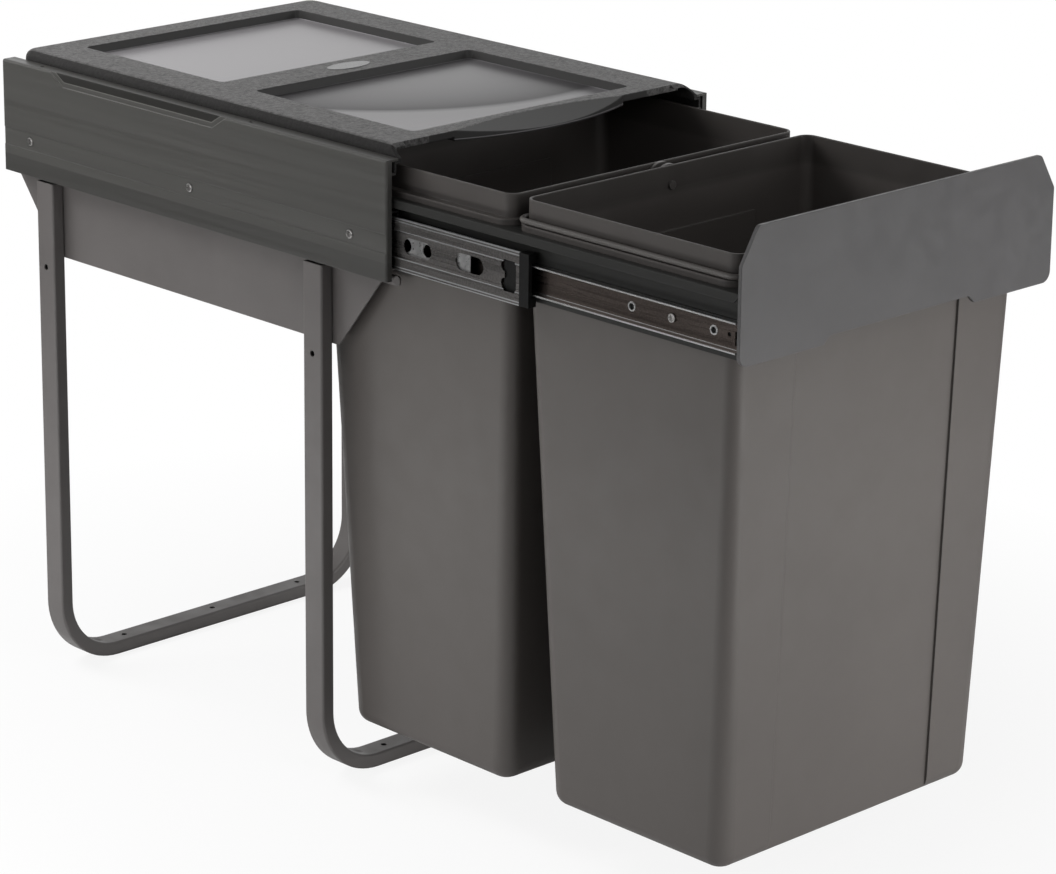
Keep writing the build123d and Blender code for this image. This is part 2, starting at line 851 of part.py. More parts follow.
def tapered_block(centre, low, high, inset, foot_radius):
    """The tapered body of a bin between two heights, made smaller all round by the inset."""
    with BuildPart() as body:
        for height in (low, high):
            with BuildSketch(Plane.XY.offset(height)):
                with Locations((0, bin_middle(centre, height))):
                    RectangleRounded(
                        2 * (bin_half_width(height) - inset),
                        2 * (bin_half_depth(height) - inset),
                        bin_size(height, bin_foot_corner, bin_corner) - inset,
                    )
        loft(ruled=True)
        fillet(body.faces().sort_by(Axis.Z)[0].edges(), foot_radius)
    return body


def wall_recess(centre, depth, half_width, top):
    """Shallow recesses of the front and back walls of a bin, as a pair of slabs."""
    low = bin_bottom - overrun
    with BuildPart() as slabs:
        for end in (-1, 1):
            points = [
                (bin_half_depth(low) - depth, low),
                (bin_half_depth(top) - depth, top),
                (bin_half_depth(top) + overrun, top),
                (bin_half_depth(low) + overrun, low),
            ]
            with BuildSketch(Plane.YZ):
                with BuildLine():
                    corners = [(bin_middle(centre, z) + end * y, z) for y, z in points]
                    Polyline(*corners, close=True)
                make_face()
            extrude(amount=half_width, both=True)
    return slabs


def rounded_ring(centre, low, high, half_width, half_depth, corner, wall):
    """An upright ring with rounded corners, or a full block when the wall is zero."""
    with BuildSketch(Plane.XY.offset(low)) as face:
        with Locations((0, back_y - centre)):
            RectangleRounded(2 * half_width, 2 * half_depth, corner)
            if wall:
                RectangleRounded(2 * (half_width - wall), 2 * (half_depth - wall),
                                 corner - wall, mode=Mode.SUBTRACT)
    extrude(face.sketch, amount=high - low, dir=(0, 0, 1))


def waste_bin(centre):
    """A tapered bin with recessed end walls, a skirted flange and a collar."""
    body = tapered_block(centre, bin_bottom, bin_rim, 0, bin_foot_radius)
    hollow = tapered_block(centre, bin_bottom + bin_base, bin_rim, bin_wall,
                           bin_foot_radius - bin_wall)
    recess = wall_recess(centre, bin_recess_depth, bin_recess_half, bin_recess_top)
    bulge = wall_recess(centre, bin_recess_depth + bin_wall, bin_recess_half + bin_wall,
                        bin_recess_top + bin_wall)
    inside = hollow.part - bulge.part
    flange_corner = bin_corner + bin_flange_half_width - bin_collar_half_width
    with BuildPart() as vessel:
        add(body.part)
        add(recess.part, mode=Mode.SUBTRACT)
        rounded_ring(centre, bin_rim - bin_rim_thickness, bin_rim, bin_flange_half_width,
                     bin_flange_half_depth, flange_corner, 0)
        fillet(vessel.faces().sort_by(Axis.Z)[-1].edges(), bin_flange_edge)
        rounded_ring(centre, rail_top, bin_rim - bin_rim_thickness, bin_flange_half_width,
                     bin_flange_half_depth, flange_corner, bin_skirt)
        rounded_ring(centre, bin_rim, bin_top, bin_collar_half_width, bin_collar_half_depth,
                     bin_corner, bin_wall)
        fillet(vessel.faces().sort_by(Axis.Z)[-1].edges(), bin_lip_edge)
        add(inside, mode=Mode.SUBTRACT)
        for end in (-1, 1):
            wall = centre + end * bin_collar_half_depth
            low, high = sorted((wall, centre + end * (bin_flange_half_depth + overrun)))
            block(-ear_notch, ear_notch, rail_top, bin_rim, low, high, 1, Mode.SUBTRACT)
            low, high = sorted((wall, wall - end * bin_wall))
            with BuildSketch(across(low)):
                with Locations((0, handle_height)):
                    Circle(pin_radius)
            extrude(amount=high - low, mode=Mode.SUBTRACT)
    return vessel


def bail_handle(centre, side):
    """A wire bail round one half of the bin, with an ear on each pivot."""
    start = side * handle_arm_start
    rear_y = back_y - centre + handle_half_depth
    front_y = back_y - centre - handle_half_depth
    with BuildPart() as bail:
        with BuildLine(Plane.XY.offset(handle_height)) as path:
            FilletPolyline(
                (start, rear_y),
                (side * handle_half_width, rear_y),
                (side * handle_half_width, front_y),
                (start, front_y),
                radius=handle_corner,
            )
        with BuildSketch(Plane(origin=path.line @ 0, z_dir=path.line % 0)):
            Circle(handle_rod_radius)
        sweep(path=path.line)
        for end in (-1, 1):
            near = centre + end * (bin_collar_half_depth + handle_eye_gap)
            far = near + end * handle_eye_thickness
            with BuildSketch(across(min(near, far))):
                with Locations((0, handle_height)):
                    Circle(handle_eye_radius)
            extrude(amount=handle_eye_thickness)
            with BuildSketch(across(min(near, far))):
                with Locations((0, handle_height)):
                    Circle(pin_radius + pin_clearance)
            extrude(amount=handle_eye_thickness, mode=Mode.SUBTRACT)
    return bail


def handle_pins(centre):
    """The two headed pivot pins of a bail, riveted into the collar of the bin."""
    with BuildPart() as pins:
        for end in (-1, 1):
            tip = bin_collar_half_depth - bin_wall - pin_inside_height
            seat = bin_flange_half_depth - pin_head_height
            for radius, near, far in ((pin_inside_radius, tip, tip + pin_inside_height),
                                      (pin_radius, tip + pin_inside_height, seat),
                                      (pin_head_radius, seat, bin_flange_half_depth)):
                low, high = sorted((centre + end * near, centre + end * far))
                with BuildSketch(across(low)):
                    with Locations((0, handle_height)):
                        Circle(radius)
                extrude(amount=high - low)
    return pins


def lid_form(inset):
    """The outer form of the lid, made smaller all round by the inset and too long in front."""
    low = cover_top - cover_lip_thickness - lid_flange_gap - lid_flange_thickness
    length = lid_horn_front + lid_corner - lid_rear
    with BuildPart() as form:
        with BuildSketch(Plane.XY.offset(low)):
            with Locations((0, back_y - lid_rear - length / 2)):
                RectangleRounded(
                    2 * (lid_half_width - inset), length - 2 * inset, lid_corner - inset
                )
        extrude(amount=lid_top - inset - low)
        fillet(form.faces().sort_by(Axis.Z)[-1].edges(), lid_edge_radius - inset)
    return form


def lid_shell():
    """The sliding lid: raised frame, two sunk windows and flanges held under the covers."""
    form = lid_form(0)
    hollow = lid_form(lid_wall)
    flange_top = cover_top - cover_lip_thickness - lid_flange_gap
    flange_bottom = flange_top - lid_flange_thickness
    flange_outside = lid_half_width + lid_flange_out
    lip_inside = flange_outside - lid_flange_thickness
    wall_inside = lid_half_width - lid_wall
    slab_bottom = lid_top - lid_wall
    flange = [
        (wall_inside, flange_bottom),
        (lip_inside, flange_bottom),
        (lip_inside, cover_shelf_top),
        (flange_outside, cover_shelf_top),
        (flange_outside, flange_top),
        (wall_inside, flange_top),
    ]
    horn = [
        (lid_horn_front, cover_top),
        (lid_front, lid_top),
        (lid_horn_front + lid_corner, lid_top),
        (lid_horn_front + lid_corner, cover_shelf_top),
        (lid_horn_front, cover_shelf_top),
    ]
    slope = Vector(0, pull_rear - pull_front, pull_lip_bottom + pull_lip_thickness - lid_top)
    trough = Plane(origin=(0, back_y - pull_rear, lid_top), x_dir=(1, 0, 0), z_dir=slope)
    with BuildPart() as lid:
        add(form.part)
        add(hollow.part, mode=Mode.SUBTRACT)
        for side in (-1, 1):
            bar(flange, lid_rear + lid_corner, lid_horn_front, side)
        flank(horn, -flange_outside, flange_outside, 1, Mode.SUBTRACT)
        block(-lid_horn_start, lid_horn_start, flange_bottom, lid_top, lid_front,
              lid_horn_front, 1, Mode.SUBTRACT)
        rim = lid_half_width - lid_edge_radius
        block(-rim, rim, lid_top - lid_rim_height, slab_bottom, lid_front - lid_wall, lid_front, 1)
        with BuildSketch(Plane.XY.offset(pull_lip_bottom)):
            with BuildLine():
                ThreePointArc(
                    (-pull_half_width, back_y - lid_front),
                    (0, back_y - pull_front),
                    (pull_half_width, back_y - lid_front),
                )
                Polyline(
                    (pull_half_width, back_y - lid_front),
                    (pull_half_width, back_y - lid_front + pull_solid),
                    (-pull_half_width, back_y - lid_front + pull_solid),
                    (-pull_half_width, back_y - lid_front),
                )
            make_face()
        extrude(amount=lid_top - pull_lip_bottom)
        with BuildSketch(trough):
            with Locations((0, pull_trough_radius)):
                Circle(pull_trough_radius)
        extrude(amount=2 * pull_half_width, mode=Mode.SUBTRACT)
        for start, end in window_ranges:
            tray = window_half_width + window_draft
            block(-tray, tray, window_floor - window_floor_thickness, slab_bottom,
                  start - window_draft, end + window_draft, 1)
            for height, inset in ((lid_top, 0), (window_floor, window_draft)):
                with BuildSketch(Plane.XY.offset(height)):
                    with Locations((0, back_y - (start + end) / 2)):
                        RectangleRounded(
                            2 * (window_half_width - inset), end - start - 2 * inset, window_corner
                        )
            loft(ruled=True, mode=Mode.SUBTRACT)
        with BuildSketch(Plane.XY.offset(lid_top - badge_depth)):
            with Locations((0, back_y - badge_distance)):
                Ellipse(badge_half_length, badge_half_width)
        extrude(amount=badge_depth, mode=Mode.SUBTRACT)
    return lid


def lid_badge():
    """The bare oval plate let into the crossbar of the lid."""
    with BuildPart() as badge:
        with BuildSketch(Plane.XY.offset(lid_top - badge_depth)):
            with Locations((0, back_y - badge_distance)):
                Ellipse(badge_half_length, badge_half_width)
        extrude(amount=badge_thickness)
        fillet(badge.faces().sort_by(Axis.Z)[-1].edges(), badge_edge)
    return badge


for place, distance in (("rear", rear_tube_distance), ("front", front_tube_distance)):
    save(tube_frame(distance), f"{place}_tube_frame")

outer_balls = ball_places(outer_cage_front, outer_cage_length)
inner_balls = ball_places(inner_cage_front, inner_cage_length)
for name, side in sides:
    save(side_plate(side), f"side_plate_{name}")
    save(side_cover(side), f"side_cover_{name}")
    save(slide_outer(side), f"slide_outer_{name}")
    save(slide_middle(side), f"slide_middle_{name}")
    save(end_cap(side), f"slide_end_cap_{name}")
    save(slide_inner(side), f"slide_inner_{name}")
    save(outer_cage(side), f"outer_ball_cage_{name}")
    save(inner_cage(side), f"inner_ball_cage_{name}")
    save(ball_rows(outer_ball_width, outer_race, outer_ball_radius, outer_balls, side),
         f"outer_balls_{name}")
    save(ball_rows(inner_ball_width, inner_race, inner_ball_radius, inner_balls, side),
         f"inner_balls_{name}")
    save(carrier_side(side), f"carrier_side_{name}")

save(cover_screws(), "cover_screws")
save(slide_screws(), "slide_screws")
save(cross_rail(panel_back, panel_back - front_rail_ledge, front_rail_height, panel_screw_places),
     "carrier_front_rail")
save(cross_rail(rail_rear, rail_rear + rear_rail_ledge, rear_rail_height, ()),
     "carrier_rear_rail")
save(carrier_middle(), "carrier_middle_rail")
save(front_panel(), "front_panel")
save(panel_screws(), "panel_screws")

for place, centre in bin_centres.items():
    save(waste_bin(centre), f"bin_{place}")
    save(bail_handle(centre, handle_sides[place]), f"bin_handle_{place}")
    save(handle_pins(centre), f"handle_pins_{place}")

save(lid_shell(), "lid")
save(lid_badge(), "lid_badge")
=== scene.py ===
"""Looks of the pull out bin frame: camera, lights, floor and procedural materials."""

import math

import bpy
from mathutils import Matrix, Vector

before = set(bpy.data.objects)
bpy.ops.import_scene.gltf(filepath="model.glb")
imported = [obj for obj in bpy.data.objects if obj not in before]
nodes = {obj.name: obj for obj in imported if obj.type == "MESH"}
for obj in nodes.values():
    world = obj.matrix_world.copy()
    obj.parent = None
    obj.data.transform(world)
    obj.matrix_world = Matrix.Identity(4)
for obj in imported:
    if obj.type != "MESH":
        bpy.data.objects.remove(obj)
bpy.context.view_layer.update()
scene = bpy.context.scene

# Camera: heading, tilt and roll in degrees, the point looked at, and the picture's lens and shift
HEADING = 42.96
TILT = 16.593
ROLL = -0.305
TARGET = Vector((0.00529, -0.30477, 0.31905))
DISTANCE = 3.1729
FOCAL_PX = 3876.69
IMAGE_WIDTH = 1056
IMAGE_HEIGHT = 874
CENTRE_PX = (450.0, 350.0)
SENSOR_MM = 36.0
CLIP_START = 0.05
CLIP_END = 60

# Base colours, linear
STEEL = (0.082, 0.076, 0.074)
PANEL = (0.063, 0.061, 0.062)
CARRIER = (0.018, 0.018, 0.017)
COVER = (0.050, 0.049, 0.046)
BIN = (0.071, 0.064, 0.060)
BAIL = (0.084, 0.078, 0.074)
LID = (0.064, 0.062, 0.061)
# Painted reflection: the window floors are coloured far lighter than the lid frame
WINDOW_REFLECTION = (0.255, 0.246, 0.255)
BADGE = (0.105, 0.104, 0.104)
WEB = (0.084, 0.069, 0.062)
# Painted highlights: the pale zinc of bent hems and pressed rings
HEM_HIGHLIGHT = (0.54, 0.54, 0.54)
MIDDLE_WEB = (0.150, 0.143, 0.139)
# Painted highlight on the middle member's bent hems
MIDDLE_HEM_HIGHLIGHT = (0.44, 0.446, 0.453)
CAGE = (0.36, 0.36, 0.36)
SCREW = (0.42, 0.41, 0.40)
BALL = (0.8, 0.8, 0.8)
BLACK = (0.003, 0.003, 0.003)
# Painted shade: the black seen through the holes of the slides
BORE_SHADE = (0.001, 0.001, 0.001)

# Noise lies mostly between these values
NOISE_SPAN = (0.35, 0.65)
SPECKLE_SPAN = (0.38, 0.62)

# Reflection of the plastics and paints, and the edge radii that the shading rounds, in metres
COAT_SPECULAR = 0.45
MOULDED_SPECULAR = 0.4
CARRIER_SPECULAR = 0.22
BLACK_SPECULAR = 0.15
COAT_EDGE = 0.0005
MOULDED_EDGE = 0.0006
DRAWN_EDGE = 0.0008
BIN_EDGE = 0.0010
LID_EDGE = 0.0012
SMALL_EDGE = 0.0003
BADGE_EDGE = 0.0004
ROLLED_EDGE = 0.0003
PLATED_EDGE = 0.0002
BEVEL_SAMPLES = 4

# Metals: darkest and plain tone of the clouds, and the tone of the zinc's spangle
ZINC_TONES = (0.72, 1.0)
SPANGLE_TONE = 1.5
PLATED_TONES = (0.75, 1.0)

# Slides: mid height, painted highlight bands above and below it, and the bored holes at (Y, Z),
# some of them ringed with a painted highlight and all with painted shade behind; a mask with no
# inside covers the whole hole
SLIDE_Z = 0.465
MIDDLE_HIGHLIGHT_BANDS = ((0.0104, 0.0111), (0.0174, 0.0184), (0.0196, 0.0210))
INNER_HIGHLIGHT_BANDS = ((0.0101, 0.0120),)
OUTER_HIGHLIGHT_BANDS = ((0.0190, 0.0235),)
RINGED_HOLES = ((-0.670, SLIDE_Z), (-0.7505, SLIDE_Z))
SMALL_HOLES = ((-0.7653, SLIDE_Z),)
RING_INSIDE = 0.0024
RING_OUTSIDE = 0.0037
BORE_SHADE_RADIUS = 0.0030
NO_INSIDE = -1.0

# Bins: painted shade that darkens the collar above the flange
COLLAR_LOW = 0.498
COLLAR_FADE = 0.004
COLLAR_SHADE_TONE = 0.74

# Side covers: the outer face, the low band, and the pocket with its sloping ends and bevel;
# painted shade in the pocket and painted highlight lines along the bevel
COVER_FACE = 0.175
FACE_DEPTH = 0.0016
COVER_BAND = 0.4499
BAND_TONE = 0.70
POCKET_LOW = 0.519
POCKET_TOP = 0.530
POCKET_REAR = -0.010
POCKET_FRONT = -0.239
POCKET_RUN = 0.5215
POCKET_RISE = 0.8533
POCKET_BEVEL = 0.0045
POCKET_SHADE_TONE = 0.45
POCKET_SPECULAR = 0.15
BEVEL_HIGHLIGHT_LINES = ((-0.0002, 0.0009), (POCKET_BEVEL - 0.0008, 0.0008))
BEVEL_HIGHLIGHT_TONE = 2.1

# Lid: coarse leather grain on the frame, smooth satin floors in the windows; painted reflection
# lightens the floors, painted shade draws a dish on the flat front floor and darkens the walls
# and skirt
WINDOW_HALF = 0.1186
FLOOR_LOW = 0.5306
FLOOR_HIGH = 0.5314
WALL_TOP = 0.5377
FRONT_WINDOW_Y = -0.185
LID_SHOULDER = 0.1575
DISH_CENTRE = (0.070, -0.146)
DISH_RADIUS = 0.2125
DISH_EDGE = (0.975, 1.03)
DISH_SLOPE = (0.45, 0.99)
# Painted shade of a dish on the flat front window floor and round its rim
DISH_SHADE_TONES = (0.50, 0.27)
BRIM_SPAN = (1.0, 1.25)
BRIM_SHADE_TONES = (0.62, 0.78)
SPECKLE_SCALE = 330
SPECKLE_DETAIL = 5
SPECKLE_ROUGH = 0.7
SPECKLE_TONES = (0.55, 1.5)
PEBBLE_SCALE = 1700
PEBBLE_SHARE = 0.4
GRAIN_HEIGHT = 0.00045
WALL_SHADE_TONE = 0.40
SKIRT_SHADE_TONE = 0.42
FRAME_ROUGHNESS = 0.44
FLOOR_ROUGHNESS = 0.24
FRAME_SPECULAR = 0.32
SKIRT_SPECULAR = 0.06
BRIM_SPECULAR = 0.24
DISH_SPECULARS = (0.30, 0.03)
DISH_SPECULAR_SPAN = (0.25, 0.97)
SPECKLE_GLOSS = 0.45

# World: strength of the fill, and the heights between which reflections turn from white to grey
FILL = 0.15
OVERHEAD_SPAN = (0.35, 0.85)
OVERHEAD_GREY = 0.25

# Floor: half its size, its depth under the feet, and its tone by distance from the middle
FLOOR_HALF = 12.0
FLOOR_DROP = 0.0004
FLOOR_MIDDLE = (0.0, -0.35, 0.0)
FLOOR_DULL = 0.9
WHITE_SPAN = (0.42, 0.80)
WHITE_SHARES = (0.88, 1.0)
PALE_SPAN = (0.7, 1.9)
PALE_TONES = (0.9, 0.35)

# Area lights: name, place, aim, size in metres, watts, and whether reflections show it
LIGHTS = (
    ("left", (-2.9, 0.2, 0.75), (0, -0.35, 0.1), (1.5, 1.2), 13, True),
    ("front", (0.7, -3.4, 0.7), (0, -0.5, 0.15), (1.6, 1.2), 29, True),
    ("high front", (-0.5, -2.6, 2.0), (0.1, -0.6, 0.5), (1.0, 1.0), 9, False),
    ("low left", (-0.78, -0.12, 0.07), (0, -0.2, 0.02), (1.1, 0.12), 3.6, False),
    ("low front", (0.35, -1.6, 0.08), (0.1, -0.7, 0.02), (1.0, 0.12), 9, False),
    ("back", (-0.6, 0.55, 1.15), (-0.15, 0.0, 0.53), (0.6, 0.6), 13, False),
)


def make_camera():
    """The camera at the photograph's viewing angle."""
    heading, tilt, roll = (math.radians(v) for v in (HEADING, TILT, ROLL))
    forward = Vector((math.sin(heading) * math.cos(tilt), math.cos(heading) * math.cos(tilt),
                      -math.sin(tilt)))
    right = Vector((math.cos(heading), -math.sin(heading), 0.0))
    down = forward.cross(right)
    right_rolled = math.cos(roll) * right + math.sin(roll) * down
    down_rolled = -math.sin(roll) * right + math.cos(roll) * down
    data = bpy.data.cameras.new("camera")
    data.sensor_fit = "HORIZONTAL"
    data.sensor_width = SENSOR_MM
    data.lens = FOCAL_PX / IMAGE_WIDTH * SENSOR_MM
    data.shift_x = (IMAGE_WIDTH / 2 - CENTRE_PX[0]) / IMAGE_WIDTH
    data.shift_y = (CENTRE_PX[1] - IMAGE_HEIGHT / 2) / IMAGE_WIDTH
    data.clip_start = CLIP_START
    data.clip_end = CLIP_END
    camera = bpy.data.objects.new("camera", data)
    axes = Matrix((right_rolled, -down_rolled, -forward)).transposed().to_4x4()
    camera.matrix_world = Matrix.Translation(TARGET - forward * DISTANCE) @ axes
    scene.collection.objects.link(camera)
    scene.camera = camera


def socket(shader, name, value):
    """Sets a socket of a shader to a plain value."""
    shader.inputs[name].default_value = value


def toned(colour, tone):
    """A colour made darker or lighter."""
    return tuple(v * tone for v in colour)


def ranged(tree, source, span, results):
    """Maps a span of a socket's values to the span between two results."""
    made = tree.nodes.new("ShaderNodeMapRange")
    for key, value in (("From Min", span[0]), ("From Max", span[1]),
                       ("To Min", results[0]), ("To Max", results[1])):
        made.inputs[key].default_value = value
    tree.links.new(source, made.inputs["Value"])
    return made.outputs["Result"]


class Look:
    """A procedural material under construction, in metres of the row frame."""

    def __init__(self, name, metallic=0.0, roughness=0.5, specular=0.5):
        self.material = bpy.data.materials.new(name)
        self.material.use_nodes = True
        self.tree = self.material.node_tree
        self.shader = self.tree.nodes["Principled BSDF"]
        socket(self.shader, "Metallic", metallic)
        socket(self.shader, "Roughness", roughness)
        socket(self.shader, "Specular IOR Level", specular)
        self.place = self.tree.nodes.new("ShaderNodeTexCoord").outputs["Object"]
        self.normal = None

    def link(self, source, target):
        self.tree.links.new(source, target)

    def noise(self, scale, detail=3.0, rough=0.5, stretch=(1, 1, 1)):
        """Noise with about scale lumps a metre, drawn out along an axis by the stretch."""
        place = self.tree.nodes.new("ShaderNodeMapping")
        place.inputs["Scale"].default_value = stretch
        self.link(self.place, place.inputs["Vector"])
        made = self.tree.nodes.new("ShaderNodeTexNoise")
        for key, value in (("Scale", scale), ("Detail", detail), ("Roughness", rough)):
            made.inputs[key].default_value = value
        self.link(place.outputs["Vector"], made.inputs["Vector"])
        return made.outputs["Fac"]

    def spread(self, value, low=0, high=1, span=NOISE_SPAN):
        """Maps a span of a pattern's values to the values from low to high."""
        return ranged(self.tree, value, span, (low, high))

    def switch(self, mask, off, on):
        """A value that a 0 to 1 mask turns from off to on."""
        return self.spread(mask, off, on, (0, 1))

    def math(self, kind, first, second=0.0):
        made = self.tree.nodes.new("ShaderNodeMath")
        made.operation = kind
        for slot, value in enumerate((first, second)):
            if isinstance(value, (int, float)):
                made.inputs[slot].default_value = value
            else:
                self.link(value, made.inputs[slot])
        return made.outputs[0]

    def product(self, first, second):
        return self.math("MULTIPLY", first, second)

    def inverse(self, mask):
        """One minus a mask."""
        return self.math("SUBTRACT", 1.0, mask)

    def above(self, value, limit):
        return self.math("GREATER_THAN", value, limit)

    def below(self, value, limit):
        return self.math("LESS_THAN", value, limit)

    def between(self, value, low, high):
        """A mask that is 1 where a value lies between two limits."""
        return self.product(self.above(value, low), self.below(value, high))

    def axis(self, name):
        made = self.tree.nodes.new("ShaderNodeSeparateXYZ")
        self.link(self.place, made.inputs[0])
        return made.outputs[name]

    def side(self):
        """Distance from the middle plane."""
        return self.math("ABSOLUTE", self.axis("X"))

    def distance(self, first, second, centre):
        """Distance from a centre in the plane of two axes."""
        across = self.math("SUBTRACT", first, centre[0])
        along = self.math("SUBTRACT", second, centre[1])
        squares = self.math("ADD", self.product(across, across), self.product(along, along))
        return self.math("SQRT", squares)

    def blend(self, share, first, second):
        """A colour between two colours, either of which may be a socket."""
        made = self.tree.nodes.new("ShaderNodeMix")
        made.data_type = "RGBA"
        self.link(share, made.inputs["Factor"])
        for slot, value in ((6, first), (7, second)):
            if isinstance(value, tuple):
                made.inputs[slot].default_value = (*value, 1)
            else:
                self.link(value, made.inputs[slot])
        return made.outputs[2]

    def toning(self, share, colour, tones):
        """A colour between two tones of one colour."""
        return self.blend(share, *(toned(colour, tone) for tone in tones))

    def colour(self, value):
        self.link(value, self.shader.inputs["Base Color"])

    def base(self):
        """The socket that now colours the shader."""
        return self.shader.inputs["Base Color"].links[0].from_socket

    def rough(self, value):
        self.link(value, self.shader.inputs["Roughness"])

    def specular(self, value):
        self.link(value, self.shader.inputs["Specular IOR Level"])

    def soft_edges(self, radius):
        """Rounds sharp edges by the radius in the shading."""
        made = self.tree.nodes.new("ShaderNodeBevel")
        made.samples = BEVEL_SAMPLES
        made.inputs["Radius"].default_value = radius
        self.normal = made.outputs[0]
        self.link(self.normal, self.shader.inputs["Normal"])

    def bump(self, height, distance, strength=1.0):
        """Adds a height pattern, in metres, to the surface."""
        made = self.tree.nodes.new("ShaderNodeBump")
        made.inputs["Strength"].default_value = strength
        made.inputs["Distance"].default_value = distance
        self.link(height, made.inputs["Height"])
        self.link(self.normal, made.inputs["Normal"])
        self.normal = made.outputs[0]
        self.link(self.normal, self.shader.inputs["Normal"])


def tinted(look, colour, spread=0.06, scale=9.0, stretch=(1, 1, 1)):
    """A colour with slight large-scale variation."""
    pattern = look.spread(look.noise(scale, stretch=stretch))
    look.colour(look.toning(pattern, colour, (1 - spread, 1 + spread)))


def coated(name, colour, roughness=0.42):
    """Powder coat: a faint orange peel and a satin sheen."""
    look = Look(name, roughness=roughness, specular=COAT_SPECULAR)
    look.soft_edges(COAT_EDGE)
    tinted(look, colour)
    look.rough(look.spread(look.noise(scale=60), low=roughness - 0.05, high=roughness + 0.06))
    look.bump(look.noise(scale=900, detail=2), distance=0.00006, strength=0.5)
    return look


def moulded(name, colour, roughness=0.45, edge=MOULDED_EDGE):
    """Moulded plastic with a fine even grain."""
    look = Look(name, roughness=roughness, specular=MOULDED_SPECULAR)
    look.soft_edges(edge)
    tinted(look, colour, spread=0.04, scale=6.0)
    look.rough(look.spread(look.noise(scale=40), low=roughness - 0.04, high=roughness + 0.05))
    look.bump(look.noise(scale=1400, detail=2), distance=0.00005, strength=0.6)
    return look


def drawn_plastic(name, colour, roughness=0.33, specular=COAT_SPECULAR):
    """Extruded plastic: a fine grain and faint flow lines along Y."""
    look = Look(name, roughness=roughness, specular=specular)
    look.soft_edges(DRAWN_EDGE)
    lines = look.noise(scale=260, detail=3, stretch=(1, 0.015, 1))
    tinted(look, colour, spread=0.07, scale=90, stretch=(1, 0.03, 1))
    look.rough(look.spread(lines, low=roughness - 0.05, high=roughness + 0.08))
    look.bump(lines, distance=0.00005, strength=0.5)
    return look


def rolled_zinc(name, dark, highlight, bands, roughness=0.27):
    """Zinc plate over rolled steel, with painted highlights in bands about SLIDE_Z where the
    sheet is bent.
    """
    look = Look(name, metallic=1.0, roughness=roughness)
    look.soft_edges(ROLLED_EDGE)
    streaks = look.noise(scale=420, detail=4, stretch=(1, 0.02, 1))
    cloud = look.noise(scale=35, detail=3, stretch=(1, 0.3, 1))
    spangle = look.noise(scale=700, detail=2)
    rise = look.math("ABSOLUTE", look.math("SUBTRACT", look.axis("Z"), SLIDE_Z))
    bent = 0.0
    for start, end in bands:
        bent = look.math("MAXIMUM", bent, look.between(rise, start, end))
    plain = look.toning(look.spread(cloud), dark, ZINC_TONES)
    mottled = look.blend(look.spread(spangle, high=0.5), plain, toned(dark, SPANGLE_TONE))
    # Painted highlight: the bent bands coloured pale
    look.colour(look.blend(bent, mottled, highlight))
    look.rough(look.spread(streaks, low=roughness - 0.03, high=roughness + 0.06))
    look.bump(streaks, distance=0.00001, strength=0.3)
    return look


def plain_zinc(name, colour, roughness):
    """Plated or polished steel with faint clouds."""
    look = Look(name, metallic=1.0, roughness=roughness)
    look.soft_edges(PLATED_EDGE)
    clouds = look.spread(look.noise(scale=160, detail=3))
    look.colour(look.toning(clouds, colour, PLATED_TONES))
    look.rough(look.spread(look.noise(scale=420), low=roughness - 0.06, high=roughness + 0.1))
    look.bump(look.noise(scale=900), distance=0.00002, strength=0.4)
    return look


def holes_mask(look, holes, inside, outside):
    """A mask that is 1 between two radii about each hole at (Y, Z)."""
    depth, height = look.axis("Y"), look.axis("Z")
    mask = 0.0
    for hole in holes:
        ring = look.between(look.distance(depth, height, hole), inside, outside)
        mask = look.math("MAXIMUM", mask, ring)
    return mask


def inner_member_look():
    """Rolled zinc, with painted highlights round the bored holes where a ring is pressed."""
    look = rolled_zinc("zinc_inner", WEB, HEM_HIGHLIGHT, INNER_HIGHLIGHT_BANDS)
    # Painted highlight: the pressed ring round each hole coloured pale
    ring_highlights = holes_mask(look, RINGED_HOLES, RING_INSIDE, RING_OUTSIDE)
    look.colour(look.blend(ring_highlights, look.base(), HEM_HIGHLIGHT))
    return look


def carrier_look():
    """Dark coated rails, with painted black shade where the holes of the slides open on them."""
    look = drawn_plastic("carrier_coat", CARRIER, roughness=0.40, specular=CARRIER_SPECULAR)
    # Painted shade: black spots on the rail behind the holes
    bore_shade = holes_mask(look, RINGED_HOLES + SMALL_HOLES, NO_INSIDE, BORE_SHADE_RADIUS)
    look.colour(look.blend(bore_shade, look.base(), BORE_SHADE))
    return look


def bin_look():
    """Textured bin walls, with painted shade that darkens the collar above the flange."""
    look = moulded("bin_plastic", BIN, roughness=0.42, edge=BIN_EDGE)
    # Painted shade: the collar is coloured darker than the walls below it
    collar = look.spread(look.axis("Z"), span=(COLLAR_LOW, COLLAR_LOW + COLLAR_FADE))
    look.colour(look.blend(collar, look.base(), toned(BIN, COLLAR_SHADE_TONE)))
    return look


